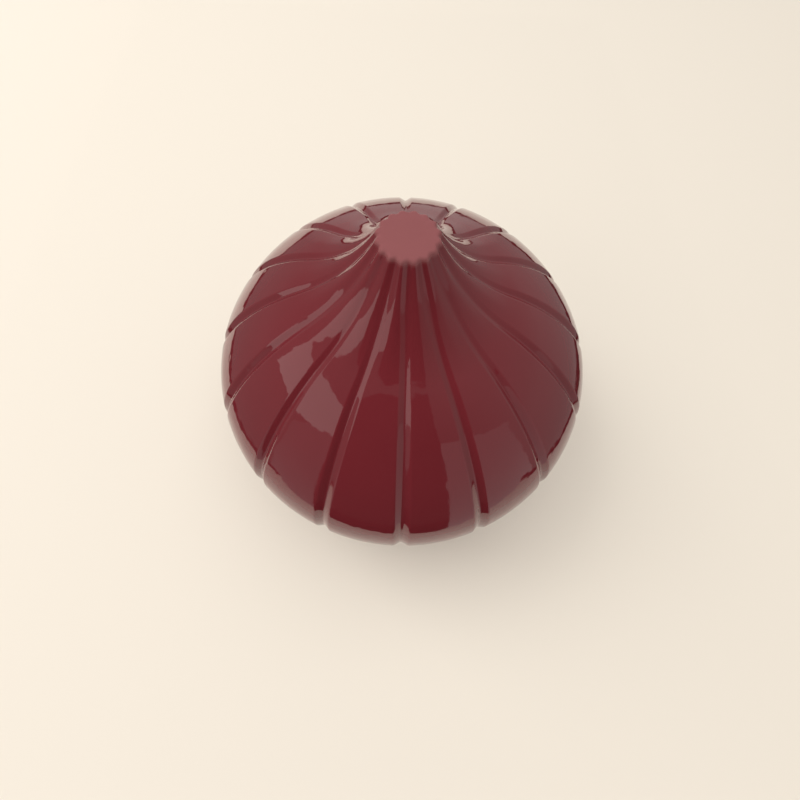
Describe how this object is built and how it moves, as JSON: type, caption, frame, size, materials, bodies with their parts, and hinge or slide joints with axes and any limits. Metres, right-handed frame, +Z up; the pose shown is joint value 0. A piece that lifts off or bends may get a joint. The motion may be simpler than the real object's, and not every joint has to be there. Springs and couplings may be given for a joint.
{
  "type": "onion keeper",
  "caption": "Onion-shaped food keeper in gloss plastic: ribbed base and ribbed lid with a stem, joined by a twist lock and a soft seal.",
  "frame": {"origin": "centre of the foot, on the surface that the keeper stands on", "axes": "+Z up the stem, the axis of the round body; a groove of the base faces -Y"},
  "size_m": [0.11, 0.11, 0.0963],
  "materials": {
    "shell": "high gloss, opaque burgundy",
    "seal": "matte silicone"
  },
  "bodies": {
    "base": {"base": "shell"},
    "lid_carrier": {"seal_ring": "seal"},
    "lid": {"lid": "shell"}
  },
  "joints": [
    {"name": "lid_lift", "type": "slide", "parent": "base", "child": "lid_carrier", "axis": [0, 0, 1], "range_m": [0, 0.06]},
    {"name": "lid_twist", "type": "hinge", "parent": "lid_carrier", "child": "lid", "pos_m": [0, 0, 0.046], "axis": [0, 0, 1], "range_deg": [0, 22.5]}
  ]
}
